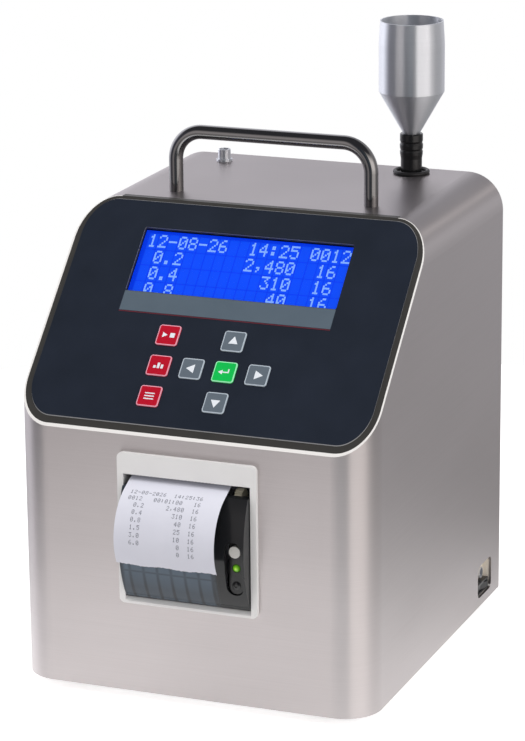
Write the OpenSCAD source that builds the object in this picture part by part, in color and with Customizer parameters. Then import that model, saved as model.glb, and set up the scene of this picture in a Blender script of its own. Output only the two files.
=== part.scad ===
// Benchtop airborne particle counter: a stainless sheet casing with a sloped keypad and display, a ticket
// printer in its front, a carry handle, and a funnel probe on the sample inlet.
// X runs to the right, the front faces -Y, Z is up, and the origin is under the middle of the whole unit.

/* [Casing] */
// Width of the sheet casing
body_w = 205; // [200:1:215]
// Depth of the sheet casing
body_d = 228; // [224:1:240]
// Height of the casing above its lower edge
body_h = 250; // [246:1:256]
// Height of the upright front face
front_h = 146; // [143:1:149]
// Depth taken up by the sloped control face
slope_run = 106; // [102:1:110]
// Outer radius of the casing's rounded edges
corner_r = 21; // [16:1:24]
// Thickness of the stainless sheet
sheet_t = 1.5; // [1.2:0.1:1.6]
// Height of the rubber feet below the casing
foot_h = 5; // [4:0.5:8]

/* [Control panel] */
// Width of the display window
window_w = 123; // [119:0.5:124]
// Height of the display window
window_h = 41; // [38:0.5:42]
// Middle of the display window, measured up the slope
window_s = 108.7; // [106:0.1:111]
// Side of a square key
key_side = 12.7; // [11:0.1:14]
// Distance between neighbouring keys
key_pitch = 19.05; // [17:0.05:21]
// Middle of the lowest row of keys, measured up the slope
key_low_s = 24.1; // [20:0.1:28]
// Travel of a key
key_travel = 0.5; // [0.3:0.1:0.6]

/* [Carry handle] */
// Diameter of the handle bar
handle_bar_d = 8; // [7:0.5:10]
// Distance between the handle's two legs
handle_span = 116; // [100:1:125]
// Height of the bar's centre above the casing
handle_rise = 34.5; // [30:0.5:60]
// Radius of the bar's two bends, at its centre
handle_bend_r = 16; // [10:1:20]
// Distance from the front face to the handle
handle_y = 128; // [122:1:150]

/* [Sample probe] */
// Outer diameter of the funnel probe
probe_d = 37.5; // [30:0.5:42]
// Height of the probe's rim above the casing
probe_top = 88.5; // [80:0.5:110]
// Height at which the probe's cone begins
cone_top = 48; // [40:1:55]
// Height of the inlet hose above the casing
hose_top = 23.5; // [22:0.5:26]
// Distance from the front face to the inlet
inlet_y = 213; // [208:1:214]

/* [Printer] */
// Width of the printer's frame
frame_w = 80; // [79:0.5:84]
// Height of the printer's frame
frame_hgt = 85; // [83:0.5:88]
// Width of the paper
paper_w = 57.5; // [50:0.5:58]
// Angle to which the printer door opens
door_open = 70; // [40:1:72]
// How far the door bulges in front of the casing
door_bulge = 11.5; // [10:0.1:12]

/* [Hidden] */
$fn = 64;
eps = 1;                                    // overrun of a cutting shape past the face it opens
two_sides = [-1, 1];

steel = "silver";
white_plastic = "gainsboro";
charcoal = "dimgray";
smoke = "slategray";
rubber = "black";
board_green = "seagreen";

// Casing
slope_rise = body_h - front_h;
slope_a = atan2(slope_rise, slope_run);
slope_len = sqrt(slope_run * slope_run + slope_rise * slope_rise);
return_w = 10;                              // width of the sheet turned in at the bottom and the rear
base_t = 2;
base_top = sheet_t + base_t;
foot_xy = [73, 22];
foot_r = 9.5;
base_screw_x = body_w / 2 - 6.5;
base_screw_y = [60, 115, 170];
rear_inset = 3;                             // margin of the rear panel inside the casing's outline
rear_screw_x = body_w / 2 - 6.5;
rear_screw_z = [20, 125, 220];
rear_screw_in = 45;
vent_count = 14;
vent_pitch = 7;

// Control panel
bezel_t = 3;
overlay_t = 0.4;
rim_side = 4.3;                             // overlay's outline in from the casing's
rim_low = 4.6;
rim_top = 1.45;
edge_side_t = 1;                            // sheet left beside the bezel
edge_top_t = 0.2;                           // sheet left above the bezel's rounded top corners
key_gap = 0.2;
key_rows = [key_low_s, key_low_s + key_pitch, key_low_s + 2 * key_pitch];
key_cross_x = 9.9;                          // middle of the arrow cross
key_left_x = key_cross_x - 2 * key_pitch;
key_proud = 0.7;
key_stem_r = 3;
key_places = [[key_left_x, key_rows[2]], [key_left_x, key_rows[1]], [key_left_x, key_rows[0]],
    [key_cross_x, key_rows[2]], [key_cross_x - key_pitch, key_rows[1]], [key_cross_x, key_rows[1]],
    [key_cross_x + key_pitch, key_rows[1]], [key_cross_x, key_rows[0]]];
window_t = 1.5;
window_lip = 1.5;                           // border by which the clear window is held
lcd_w = 146;
lcd_h = 62.5;
lcd_t = 5;
lcd_view = [127, 45];
lcd_set_back = 2;                           // glass behind the front of its metal frame
board_t = 1.6;
keypad_board_n = -5;                        // front face of the keypad board, from the slope
keypad_board_size = [88, 62];

// Printer
printer_x = 0.5;
frame_z = 94.1;
frame_t = 2.5;
mouth_w = 73;
mouth_h = 70;
mouth_z = 89.9;
mouth_low = mouth_z - mouth_h / 2;
mouth_left = printer_x - mouth_w / 2;
mouth_right = printer_x + mouth_w / 2;
mouth_bevel = [2.2, 1.8];                   // depth and height of the bevel that the opening door clears
wall_t = 2;                                 // wall of the printer's skirt and bucket
skirt_d = 9;
bucket_d = 62;
bucket_high = 127;
door_r = 66;
door_z = 89.5;
door_t = 2;
door_gap = 0.4;
door_top = 118.8;
door_left = mouth_left + door_gap;
door_right = mouth_right - door_gap;
door_c = [door_r - door_bulge, door_z];
cheek_t = 1.6;
door_low = 58.2;
hinge = [0, door_low];
hinge_r = 2.9;
pin_r = 1;
run_gap = 0.05;                             // radial play of a turning pin or shaft
platen = [6, 115];
platen_r = 5;
shaft_r = 2;
gear_x = 26.4;
gear_w = 4;
gear_teeth = 20;
paper_t = 0.3;
paper_x = -4.05;
paper_left = paper_x - paper_w / 2;
nip_y = platen[0] + platen_r + 0.35;
exit_r = 7;
exit_c = [nip_y - exit_r, 116.5];
exit_a = 24.5;                              // fall of the paper as it leaves the slot
curl_r = 27;
curl_c = [3.4, 94.1];
curl_end = 31;
cradle_r = 26;                              // curve of the bucket's floor under the roll
cradle_y = bucket_d - wall_t - cradle_r;
roll_r = 20;
core_r = 6;
roll_c = [cradle_y, mouth_low + roll_r];
control_x = 30.3;
control_w = 8.2;
control_low = 65.9;
control_high = 95.6;
control_face = -6;
control_back = 8;
button_z = 90;
led_z = 80.3;
screw_z = 70.6;
button_r = 3.25;
button_proud = 2.5;
button_travel = 0.8;

// Top fittings, side recess and inside
inlet_x = 52;
rh_place = [-62, 209];
hose_r = 6.1;
stem_r = 4.2;
recess = [200.3, 15];                       // middle of the side opening, from the front and the lower edge
recess_w = 25;
recess_h = 19.5;
recess_depth = 4;
recess_floor = body_w / 2 - sheet_t - recess_depth;
jack = [206, 15.7];
rocker = [200.5, 8.6];
rocker_tilt = 7;
rocker_out = 0.6;                           // rocker's pivot in front of the recess floor
switch_rise = 3.9;                          // front of the switch's rim above the recess floor
rocker_pin_r = 0.8;
shelf_top = 100;
optic = [52, 205];
blower_c = [47, 194];
blower_r = 28;
filter_c = [-17, 23.5];
filter_r = 20;
lcd_post = [69.5, 27.5];                    // half the spacing of the display board's posts
keypad_post = [40, 27];
main_y = [60, 200];
main_z = [95, 185];
main_x = -96.2;

// The origin is midway between the hanging paper in front and the probe behind
paper_reach = curl_r + paper_t / 2 - curl_c[0];
rear_reach = inlet_y + probe_d / 2 - body_d;
front_y = -(body_d + rear_reach - paper_reach) / 2;

// Casing's own axes: x from the middle, y back from the front face, z up from the casing's lower edge
module body_frame() { translate([0, front_y, foot_h]) children(); }

// On the control slope: y up the slope from its lower edge, z out of it
module on_slope() { translate([0, 0, front_h]) rotate([slope_a, 0, 0]) children(); }

// Extrudes an outline drawn in y and z from x = a to x = b
module across(a, b) { translate([a, 0, 0]) rotate([90, 0, 90]) linear_extrude(b - a) children(); }

// Extrudes an outline drawn in x and z from y = a to y = b
module deep(a, b) { translate([0, b, 0]) rotate([90, 0, 0]) linear_extrude(b - a) children(); }

module rounded_rect(w, h, r) {
    square([w - 2 * r, h], center = true);
    square([w, h - 2 * r], center = true);
    for (sx = two_sides, sy = two_sides) translate([sx * (w / 2 - r), sy * (h / 2 - r)]) circle(r);
}

module ring(r_out, r_in, h) {
    difference() {
        cylinder(r = r_out, h = h);
        translate([0, 0, -eps]) cylinder(r = r_in, h = h + 2 * eps);
    }
}

// Outline of a pan head from its axis, with its flat seat at z = 0
module pan_screw(head_r, head_h, shank_r, shank_l) {
    difference() {
        union() {
            rotate_extrude() intersection() {
                translate([0, head_h - 2 * head_r]) circle(2 * head_r);
                square([head_r, head_h]);
            }
            translate([0, 0, -shank_l]) cylinder(r = shank_r, h = shank_l);
        }
        translate([0, 0, head_h * 0.4]) cylinder(r = head_r * 0.5, h = head_h, $fn = 6);
    }
}

// Plan outline of the casing, set in at the sides and the front, rounded at its front corners
module plan_outline(side, front, back) {
    half = body_w / 2 - side;
    r = corner_r - max(side, front);
    translate([-half, front + r]) square([2 * half, back - front - r]);
    translate([-half + r, front]) square([2 * (half - r), back - front]);
    for (sx = two_sides) translate([sx * (half - r), front + r]) circle(r);
}

// Front view of the casing, set in at the sides and the top, rounded at its top corners
module front_outline(side, top, low) {
    half = body_w / 2 - side;
    high = body_h - top;
    r = corner_r - side;
    translate([-half, low]) square([2 * half, high - r - low]);
    translate([-half + r, low]) square([2 * (half - r), high - low]);
    for (sx = two_sides) translate([sx * (half - r), high - r]) circle(r);
}

// Rounded block of the casing's size, set in from its faces, running past the bottom and the rear
module casing_block(side, front, top, low, back) {
    intersection() {
        translate([0, 0, low]) linear_extrude(body_h - low) plan_outline(side, front, back);
        deep(0, back) front_outline(side, top, low);
    }
}

module slope_slab(low, high) {
    on_slope() translate([-body_w, -20, low]) cube([2 * body_w, slope_len + 60, high - low]);
}

// The panel's bed in the casing: to the top between the corners, inside a thin rim of sheet elsewhere
module bezel_block() {
    half = body_w / 2 - corner_r;
    intersection() {
        union() {
            casing_block(edge_side_t, sheet_t, edge_top_t, 0, body_d);
            translate([-half, slope_run - 20, body_h - 20]) cube([2 * half, 40, 20]);
        }
        slope_slab(-bezel_t, 0);
    }
}

module cover_shell() color(steel) body_frame() {
    difference() {
        intersection() {
            casing_block(0, 0, 0, 0, body_d);
            across(-body_w, body_w)
                polygon([[0, 0], [0, front_h], [slope_run, body_h], [body_d, body_h], [body_d, 0]]);
        }
        casing_block(sheet_t, sheet_t, sheet_t, -eps, body_d + eps);
        bezel_block();
        deep(-eps, 5) translate([printer_x, mouth_z])
            square([mouth_w + 4.2, mouth_h + 4.2], center = true);
        across(90, 110) translate(recess) rounded_rect(recess_w, recess_h, 4);
        for (sx = two_sides) translate([sx * handle_span / 2, handle_y, 200]) cylinder(r = 2.75, h = 60);
        translate([rh_place[0], rh_place[1], 200]) cylinder(r = 3.5, h = 60);
        translate([inlet_x, inlet_y, 200]) cylinder(r = stem_r + 0.1, h = 60);
    }
    bottom_return();
    rear_return();
}

module bottom_return() {
    half = body_w / 2 - sheet_t - return_w;
    difference() {
        linear_extrude(sheet_t) plan_outline(sheet_t, sheet_t, body_d);
        translate([-half, sheet_t + return_w, -eps])
            cube([2 * half, body_d - 2 * return_w, sheet_t + 2 * eps]);
        for (sx = two_sides, y = base_screw_y)
            translate([sx * base_screw_x, y, -eps]) cylinder(r = 1.6, h = sheet_t + 2 * eps);
    }
}

module rear_return() {
    inner_w = body_w - 2 * (sheet_t + return_w);
    difference() {
        deep(body_d - sheet_t, body_d) front_outline(sheet_t, sheet_t, 0);
        deep(body_d - 2 * sheet_t, body_d + eps) translate([0, body_h / 2])
            rounded_rect(inner_w, body_h - 2 * (sheet_t + return_w), 12);
        rear_screw_places() translate([0, 0, -3 * sheet_t]) cylinder(r = 1.6, h = 5 * sheet_t);
    }
}

// Seats of the rear panel's screws, with z out of the rear face
module rear_screw_places() {
    translate([0, body_d, 0]) rotate([-90, 0, 0]) {
        for (sx = two_sides, z = rear_screw_z) translate([sx * rear_screw_x, -z, 0]) children();
        for (sx = two_sides, z = [return_w / 2 + 1.7, body_h - return_w / 2 - 1.7])
            translate([sx * rear_screw_in, -z, 0]) children();
    }
}

module base_plate() color("lightgray") body_frame() {
    difference() {
        union() {
            translate([0, 0, sheet_t]) linear_extrude(base_t)
                plan_outline(sheet_t + 0.5, sheet_t + 0.5, body_d - sheet_t - 0.5);
            for (sx = two_sides) translate([sx * (body_w / 2 - sheet_t - 1.5) - 1, 30, sheet_t])
                cube([2, 145, 14]);
        }
        for (sx = two_sides, y = base_screw_y)
            translate([sx * base_screw_x, y, 0]) cylinder(r = 1.5, h = 2 * base_top);
        foot_places() cylinder(r = 2.1, h = 2 * base_top);
    }
}

module foot_places() {
    for (sx = two_sides, y = [foot_xy[1], body_d - foot_xy[1]])
        translate([sx * foot_xy[0], y, 0]) children();
}

module base_screws() color(steel) body_frame() {
    for (sx = two_sides, y = base_screw_y)
        translate([sx * base_screw_x, y, 0]) rotate([180, 0, 0]) pan_screw(2.8, 1.6, 1.45, base_top - 0.1);
}

module rear_panel() color(steel) body_frame() {
    difference() {
        deep(body_d, body_d + sheet_t) front_outline(rear_inset, rear_inset, rear_inset);
        rear_screw_places() translate([0, 0, -eps]) cylinder(r = 1.6, h = sheet_t + 2 * eps);
        for (i = [0:vent_count - 1], z = [62, 196])
            deep(body_d - eps, body_d + 2 * sheet_t)
                translate([(i - (vent_count - 1) / 2) * vent_pitch, z]) rounded_rect(3, 34, 1.45);
    }
}

module rear_screws() color(steel) body_frame() {
    rear_screw_places() translate([0, 0, sheet_t]) pan_screw(2.7, 1.5, 1.45, 5);
}

module rubber_feet() color(rubber) body_frame() {
    foot_places() rotate_extrude() polygon([[2.1, -foot_h + 3.5], [5, -foot_h + 3.5], [5, -foot_h],
        [foot_r - 2, -foot_h], [foot_r - 1.3, -foot_h + 0.7], [foot_r, sheet_t], [2.1, sheet_t]]);
}

module foot_screws() color(steel) body_frame() {
    foot_places() translate([0, 0, -foot_h + 3.5]) rotate([180, 0, 0])
        pan_screw(3.7, 2.3, 2, base_top + foot_h - 3.6);
}

// Bent round bar with a tapped hole up each leg
module carry_handle() color(steel) body_frame() {
    r = handle_bar_d / 2;
    half = handle_span / 2;
    bend_z = body_h + handle_rise - handle_bend_r;
    difference() {
        translate([0, handle_y, 0]) {
            for (sx = two_sides) {
                translate([sx * half, 0, body_h]) cylinder(r = r, h = bend_z - body_h);
                translate([sx * (half - handle_bend_r), 0, bend_z]) mirror([sx < 0 ? 1 : 0, 0, 0])
                    rotate([90, 0, 0]) rotate_extrude(angle = 90) translate([handle_bend_r, 0]) circle(r);
            }
            translate([handle_bend_r - half, 0, body_h + handle_rise]) rotate([0, 90, 0])
                cylinder(r = r, h = 2 * (half - handle_bend_r));
        }
        for (sx = two_sides) translate([sx * half, handle_y, body_h - eps]) cylinder(r = 2.5, h = 13);
    }
}

module handle_screws() color(steel) body_frame() {
    for (sx = two_sides) translate([sx * handle_span / 2, handle_y, body_h - sheet_t]) {
        translate([0, 0, -1.2]) ring(6, 2.6, 1.2);
        translate([0, 0, -1.2]) rotate([180, 0, 0]) pan_screw(4.2, 3, 2.4, 11);
    }
}

module key_hole() { rounded_rect(key_side + 2 * key_gap, key_side + 2 * key_gap, 1.8); }

module panel_bezel() color(charcoal) body_frame() {
    difference() {
        bezel_block();
        on_slope() {
            translate([0, window_s, -2 * bezel_t]) linear_extrude(3 * bezel_t)
                rounded_rect(window_w, window_h, 1);
            translate([0, window_s, -2 * bezel_t]) linear_extrude(bezel_t + window_t)
                rounded_rect(window_w + 2 * window_lip, window_h + 2 * window_lip, 1.5);
            for (p = key_places)
                translate([p[0], p[1], -2 * bezel_t]) linear_extrude(3 * bezel_t) key_hole();
        }
    }
}

module keypad_overlay() color("midnightblue") body_frame() {
    difference() {
        intersection() {
            casing_block(rim_side, rim_low, rim_top, 0, body_d);
            slope_slab(0, overlay_t);
        }
        on_slope() {
            translate([0, window_s, -eps]) linear_extrude(3 * eps) rounded_rect(window_w, window_h, 1);
            for (p = key_places) translate([p[0], p[1], -eps]) linear_extrude(3 * eps) key_hole();
        }
    }
}

// One square key cap with its plunger
module key_cap(i) {
    cap_low = -1.4;
    body_frame() on_slope() translate([key_places[i][0], key_places[i][1], 0]) {
        translate([0, 0, cap_low]) linear_extrude(overlay_t + key_proud - cap_low)
            rounded_rect(key_side, key_side, 1.6);
        translate([0, 0, -3.6]) cylinder(r = key_stem_r, h = 3.6 + cap_low);
    }
}

module key_start_stop() color("crimson") key_cap(0);
module key_data() color("crimson") key_cap(1);
module key_menu_esc() color("crimson") key_cap(2);
module key_up() color("slategray") key_cap(3);
module key_left() color("slategray") key_cap(4);
module key_enter() color("limegreen") key_cap(5);
module key_right() color("slategray") key_cap(6);
module key_down() color("slategray") key_cap(7);

module display_window() color("lightcyan") body_frame() on_slope() translate([0, window_s, -bezel_t])
    linear_extrude(window_t) rounded_rect(window_w + 2 * window_lip, window_h + 2 * window_lip, 1.5);

module lcd_frame() color("black") body_frame() on_slope() translate([0, window_s, -bezel_t - lcd_t])
    difference() {
        linear_extrude(lcd_t) square([lcd_w - 14, lcd_h - 8], center = true);
        translate([0, 0, lcd_t - lcd_set_back]) linear_extrude(lcd_t) square(lcd_view, center = true);
        translate([0, 0, -eps]) linear_extrude(lcd_t) square(lcd_view - [2, 2], center = true);
    }

module lcd_glass() color("blue") body_frame() on_slope()
    translate([0, window_s, -bezel_t - lcd_set_back - 0.9]) {
        linear_extrude(0.9) square(lcd_view - [2, 2], center = true);
        translate([0, 0, lcd_set_back + 0.9 - lcd_t]) linear_extrude(lcd_t - lcd_set_back - 0.9)
            square(lcd_view - [12, 12], center = true);
    }

module lcd_board() color(board_green) body_frame() on_slope()
    translate([0, window_s, -bezel_t - lcd_t - board_t]) difference() {
        linear_extrude(board_t) square([lcd_w, lcd_h], center = true);
        for (sx = two_sides, sy = two_sides) translate([sx * lcd_post[0], sy * lcd_post[1], -eps])
            cylinder(r = 1.6, h = board_t + 2 * eps);
    }

module keypad_board() color(board_green) body_frame() on_slope() {
    mid = [key_cross_x - key_pitch, key_rows[1]];
    translate([mid[0], mid[1], keypad_board_n - board_t]) difference() {
        linear_extrude(board_t) square(keypad_board_size, center = true);
        for (sx = two_sides, sy = two_sides) translate([sx * keypad_post[0], sy * keypad_post[1], -eps])
            cylinder(r = 1.6, h = board_t + 2 * eps);
    }
    for (p = key_places) translate([p[0], p[1], keypad_board_n]) cylinder(r = 2.5, h = 0.8);
}

// Hexagonal posts of the display board, the keypad board and the main board
module standoffs() color("gold") body_frame() {
    on_slope() for (sx = two_sides, sy = two_sides) {
        translate([sx * lcd_post[0], window_s + sy * lcd_post[1], -bezel_t - lcd_t])
            cylinder(r = 2.9, h = lcd_t, $fn = 6);
        translate([key_cross_x - key_pitch + sx * keypad_post[0], key_rows[1] + sy * keypad_post[1],
            keypad_board_n]) cylinder(r = 2.9, h = -bezel_t - keypad_board_n, $fn = 6);
    }
    for (y = main_y + [8, -8], z = main_z + [8, -8]) translate([sheet_t - body_w / 2, y, z])
        rotate([0, 90, 0]) cylinder(r = 3.2, h = main_x - board_t / 2 + body_w / 2 - sheet_t, $fn = 6);
}

module printer_frame() color(white_plastic) body_frame() {
    difference() {
        union() {
            deep(-frame_t, 0) translate([printer_x, frame_z]) rounded_rect(frame_w, frame_hgt, 3);
            deep(-eps, skirt_d) translate([printer_x, mouth_z])
                square([mouth_w + 2 * wall_t, mouth_h + 2 * wall_t], center = true);
        }
        deep(-10, skirt_d + eps) translate([printer_x, mouth_z]) square([mouth_w, mouth_h], center = true);
        across(mouth_left, mouth_right) translate([-frame_t, mouth_low])
            polygon([[-eps, -mouth_bevel[1]], [0, -mouth_bevel[1]], [mouth_bevel[0], 0],
                [mouth_bevel[0], eps], [-eps, eps]]);
        hinge_bores(pin_r, 1.8);
    }
}

// Blind holes for the door's pins in both side walls of the frame
module hinge_bores(r, deep_in) {
    translate([mouth_left - deep_in, hinge[0], hinge[1]]) rotate([0, 90, 0])
        cylinder(r = r, h = mouth_w + 2 * deep_in);
}

// Side view of the bucket, with a floor curved up behind the roll
module bucket_outline(front, grow) {
    mid = mouth_low + cradle_r;
    intersection() {
        translate([cradle_y, mid]) circle(cradle_r + grow);
        translate([cradle_y, 0]) square([body_d, body_h]);
    }
    translate([front, mouth_low - grow]) square([cradle_y - front, mid - mouth_low + grow]);
    translate([front, mid]) square([cradle_y + cradle_r + grow - front, bucket_high + grow - mid]);
}

module printer_bucket() color("darkslategray") body_frame() {
    difference() {
        across(mouth_left - wall_t, mouth_right + wall_t) bucket_outline(skirt_d, wall_t);
        across(mouth_left, mouth_right) bucket_outline(skirt_d - eps, 0);
    }
}

module door_arc(r_out, r_in, low, high) {
    difference() {
        intersection() {
            translate(door_c) circle(r_out);
            translate([-20, low]) square([30, high - low]);
        }
        translate(door_c) circle(r_in);
    }
}

// Side wall of the door: from the curved face back to the hinge line, with the platen's bearing arm
module door_cheek() {
    difference() {
        union() {
            intersection() {
                translate(door_c) circle(door_r);
                translate([-20, door_low]) square([23, door_top - door_low]);
            }
            translate(platen) circle(4.2);
            translate([-4, platen[1] - 4.2]) square([4 + platen[0], 8]);
            translate(hinge) circle(hinge_r);
        }
        translate(platen) circle(shaft_r + run_gap);
    }
}

module printer_door() color(smoke) body_frame() {
    difference() {
        union() {
            across(door_left, door_right) door_arc(door_r, door_r - door_t, door_low, door_top);
            across(door_left, door_right) translate(hinge) circle(hinge_r);
            across(door_left, door_left + cheek_t) door_cheek();
            across(door_right - cheek_t, door_right) door_cheek();
            across(door_left, door_right) translate([-4.4, door_top - 1.8]) square([4.6, 1.8]);
            for (i = [0:6]) across(-30.5 + 8 * i, -29.5 + 8 * i) door_arc(door_r - 1, door_r - 4.5, 60, 112);
            across(door_left, control_x - 6) door_arc(door_r - 1, door_r - 3.5, 72.5, 73.5);
            across(21.9, 22.7) door_arc(door_r + 0.5, door_r - 1, 96, 116);
        }
        deep(-20, 10) translate([control_x, (control_low + control_high) / 2])
            rounded_rect(control_w + 1.2, control_high - control_low + 1.2, 4.6);
        hinge_bores(pin_r + run_gap, 1.8);
    }
}

module door_hinge_pins() color(steel) body_frame() {
    for (x = [mouth_left - 1.8, mouth_right - 6.2]) translate([x, hinge[0], hinge[1]]) rotate([0, 90, 0])
        cylinder(r = pin_r, h = 8);
}

module on_platen(x) { translate([x, platen[0], platen[1]]) rotate([0, 90, 0]) children(); }

module platen_roller() color("darkgray") body_frame() {
    on_platen(paper_left - 0.25) ring(platen_r, shaft_r, paper_w + 0.5);
}

module platen_shaft() color(steel) body_frame() {
    on_platen(door_left + 0.2) cylinder(r = shaft_r, h = door_right - door_left - 0.4);
}

function gear_tooth(i, root, tip) = [for (s = [[-0.36, root], [-0.16, tip], [0.16, tip], [0.36, root]])
    let (a = (i + s[0]) * 360 / gear_teeth) [s[1] * cos(a), s[1] * sin(a)]];

module platen_gear() color("ivory") body_frame() {
    on_platen(gear_x) difference() {
        linear_extrude(gear_w)
            polygon([for (i = [0:gear_teeth - 1], p = gear_tooth(i, 4.9, 6)) p]);
        translate([0, 0, -eps]) cylinder(r = shaft_r, h = gear_w + 2 * eps);
    }
}

// Thermal head: ceramic line behind the platen, with its finned carrier up to the bucket's roof
module print_head() color("dimgray") body_frame() {
    face = nip_y + paper_t / 2 + 0.3;
    across(paper_left - 2, gear_x - 0.8) {
        translate([face, 108]) square([3, 12]);
        translate([face + 3, 104]) square([3, bucket_high - 104]);
    }
    for (i = [0:5]) across(paper_left + 10 * i, paper_left + 10 * i + 2)
        translate([face + 6, 106]) square([5, 16]);
}

// Serrated tearing strip under the upper edge of the frame's mouth
module tear_bar() color(steel) body_frame() {
    top = mouth_low + mouth_h;
    translate([0, 0, top - 0.5]) linear_extrude(0.5) {
        translate([paper_left - 2, -1]) square([paper_w + 4, 7.5]);
        for (i = [0:30]) translate([paper_left - 2 + 1.98 * i, -1])
            polygon([[0, 0], [0.99, -0.9], [1.98, 0]]);
    }
}

module printer_motor() color("gray") body_frame() {
    translate([6, 44, 112]) rotate([0, 90, 0]) cylinder(r = 10, h = 24);
    translate([30, 18, 100]) cube([mouth_right - 30, 36, bucket_high - 100]);
}

// Roll of paper with its end led up behind the platen
module paper_roll() color("white") body_frame() {
    translate([paper_left, roll_c[0], roll_c[1]]) rotate([0, 90, 0]) ring(roll_r, core_r, paper_w);
    across(paper_left, paper_left + paper_w)
        polygon([[roll_c[0] - roll_r + 0.3, roll_c[1] - 1], [nip_y - paper_t / 2, 106],
            [nip_y - paper_t / 2, platen[1] - 0.2], [nip_y + paper_t / 2, platen[1] - 0.2],
            [nip_y + paper_t / 2, 106], [roll_c[0] - roll_r + 1.2, roll_c[1] - 1]]);
}

function arc(c, r, from, to, n) = [for (i = [0:n]) let (a = from + (to - from) * i / n)
    [c[0] + r * cos(a), c[1] + r * sin(a)]];
function flipped(v) = [for (i = [len(v) - 1:-1:0]) v[i]];
// One face of the printed strip, off to the side of its middle: up from the nip, over the slot and down
function strip_face(off) = concat([[nip_y + off, platen[1]]],
    arc(exit_c, exit_r + off, 0, 90 + exit_a, 8),
    arc(curl_c, curl_r + off, 90 + exit_a, 180 + curl_end, 16));

module paper_strip() color("white") body_frame() {
    across(paper_left, paper_left + paper_w)
        polygon(concat(strip_face(paper_t / 2), flipped(strip_face(-paper_t / 2))));
}

module control_outline() {
    translate([control_x, (control_low + control_high) / 2])
        rounded_rect(control_w, control_high - control_low, control_w / 2 - 0.05);
}

// Upright plate beside the door that carries the feed button, the lamp and a screw
module control_block() color("black") body_frame() {
    difference() {
        union() {
            deep(control_face, control_back) control_outline();
            translate([control_x, control_back - 2.5, 70]) cube([mouth_right - control_x, 2.5, 22]);
        }
        deep(control_face - eps, -0.2) translate([control_x, button_z]) circle(button_r + 0.1);
        deep(control_face - eps, -1) translate([control_x, led_z]) circle(2.4);
        deep(control_face - eps, 2) translate([control_x, screw_z]) circle(1.3);
    }
}

module feed_button() color("white") body_frame() {
    deep(control_face - button_proud, -1.5) translate([control_x, button_z]) circle(button_r);
}

module status_led() color("lime") body_frame() {
    translate([control_x, control_face + 1.2, led_z]) sphere(2.4);
    deep(control_face + 1.2, -1) translate([control_x, led_z]) circle(2.4);
}

module control_screw() color("black") body_frame() {
    translate([control_x, control_face, screw_z]) rotate([90, 0, 0]) pan_screw(2.3, 1, 1.25, 7);
}

// Thin-walled funnel turned from one bar, with a bevelled mouth and a ridged stem
module isokinetic_probe() color("silver") body_frame() {
    r = probe_d / 2;
    wall = 0.9;
    bore = 2.6;
    translate([inlet_x, inlet_y, body_h]) rotate_extrude() polygon([
        [r - wall - 0.75, probe_top], [r - 0.8, probe_top], [r - 0.2, probe_top - 9], [r, probe_top - 13],
        [r, cone_top], [stem_r, hose_top - 1], [stem_r - 0.8, hose_top - 1], [stem_r - 0.8, hose_top - 4],
        [stem_r, hose_top - 4], [stem_r - 0.8, hose_top - 6.5], [stem_r, hose_top - 8],
        [stem_r - 0.8, hose_top - 11], [bore, hose_top - 11], [bore, hose_top + 1],
        [r - wall, cone_top + 0.6], [r - wall, probe_top - 13]]);
}

// Short black hose, swollen over the ridges of the probe's stem
module inlet_tube() color(rubber) body_frame() {
    translate([inlet_x, inlet_y, body_h]) rotate_extrude() polygon([
        [stem_r, 0.8], [hose_r, 0.8], [hose_r, 9], [hose_r + 0.4, 11.5], [hose_r + 0.5, 13],
        [hose_r + 0.1, 14], [hose_r + 0.5, 15], [hose_r + 0.6, 17], [hose_r + 0.1, 18.2], [hose_r + 0.5, 19.3],
        [hose_r + 0.5, hose_top - 0.5], [hose_r + 0.1, hose_top], [stem_r + 0.5, hose_top],
        [stem_r, hose_top - 1.5]]);
}

module inlet_barb() color(steel) body_frame() {
    translate([inlet_x, inlet_y, body_h]) rotate_extrude() polygon([
        [2.6, -16], [stem_r - 0.8, -16], [stem_r, -13], [stem_r - 0.8, -13], [stem_r - 0.8, -10.5],
        [stem_r, -8], [stem_r, 4], [stem_r - 0.8, 4], [stem_r, 5.5], [stem_r - 0.8, 8.5], [stem_r, 8.5],
        [stem_r - 0.8, 11.5], [2.6, 11.5]]);
}

// Rubber ring with a raised round lip, lying on the casing round the hose
module inlet_grommet() color(rubber) body_frame() {
    translate([inlet_x, inlet_y, body_h]) rotate_extrude() {
        translate([stem_r, 0]) square([5.2, 0.8]);
        translate([9.35, 1.2]) circle(1.2);
        translate([8.6, 0]) square([1.5, 1]);
    }
}

module rh_socket() color(steel) body_frame() {
    translate([rh_place[0], rh_place[1], body_h]) {
        rotate_extrude() polygon([[2.7, 7], [3.4, 7], [3.7, 6.7], [3.7, 1.2], [4.75, 1.2], [4.75, 0],
            [3.5, 0], [3.5, -9], [0, -9], [0, 2], [2.7, 2]]);
        for (a = [0:90:270]) rotate(a) translate([1.2, 0, 0]) cylinder(r = 0.35, h = 5);
    }
}

// Hexagonal nuts of the socket and the inlet, under the top sheet
module top_nuts() color("goldenrod") body_frame() {
    for (p = [[rh_place[0], rh_place[1], 5.8, 3.5], [inlet_x, inlet_y, 7.5, stem_r]])
        translate([p[0], p[1], body_h - sheet_t - 3]) difference() {
            cylinder(r = p[2], h = 3, $fn = 6);
            translate([0, 0, -eps]) cylinder(r = p[3], h = 3 + 2 * eps);
        }
}

// Shallow folded pan behind the side opening
module recess_pan() color("wheat") body_frame() {
    difference() {
        across(recess_floor - sheet_t, body_w / 2 - sheet_t) translate(recess)
            square([recess_w + 3.6, recess_h + 3], center = true);
        across(recess_floor, body_w / 2) translate(recess) rounded_rect(recess_w, recess_h, 2);
        across(80, 110) translate(jack) circle(3);
        across(80, 110) translate(rocker) square([20.4, 5.2], center = true);
    }
}

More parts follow.
